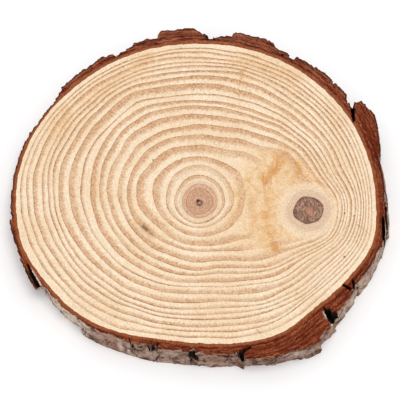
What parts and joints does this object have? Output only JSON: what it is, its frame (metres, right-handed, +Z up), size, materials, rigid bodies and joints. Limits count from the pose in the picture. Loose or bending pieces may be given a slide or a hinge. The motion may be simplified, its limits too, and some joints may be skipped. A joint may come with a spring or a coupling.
{
  "type": "wood slice",
  "caption": "Flat slice sawn across a young pine trunk, a pale wood disc with growth rings and one knot, ringed by rough plated bark.",
  "frame": {"origin": "under the middle of the slice's box, on the lower sawn face", "axes": "+Z up through the slice, from the lower sawn face to the upper one; +X along its longest width, from the pith towards the knot; +Y towards the thick bark plates opposite the flattest side"},
  "size_m": [0.1052, 0.1022, 0.009],
  "materials": {
    "wood": "sawn flat and lightly sanded, matt",
    "bark": "rough and dry, red-brown where sawn, grey outside"
  },
  "bodies": {
    "root": {"wood": "wood", "bark": "bark"}
  },
  "joints": []
}
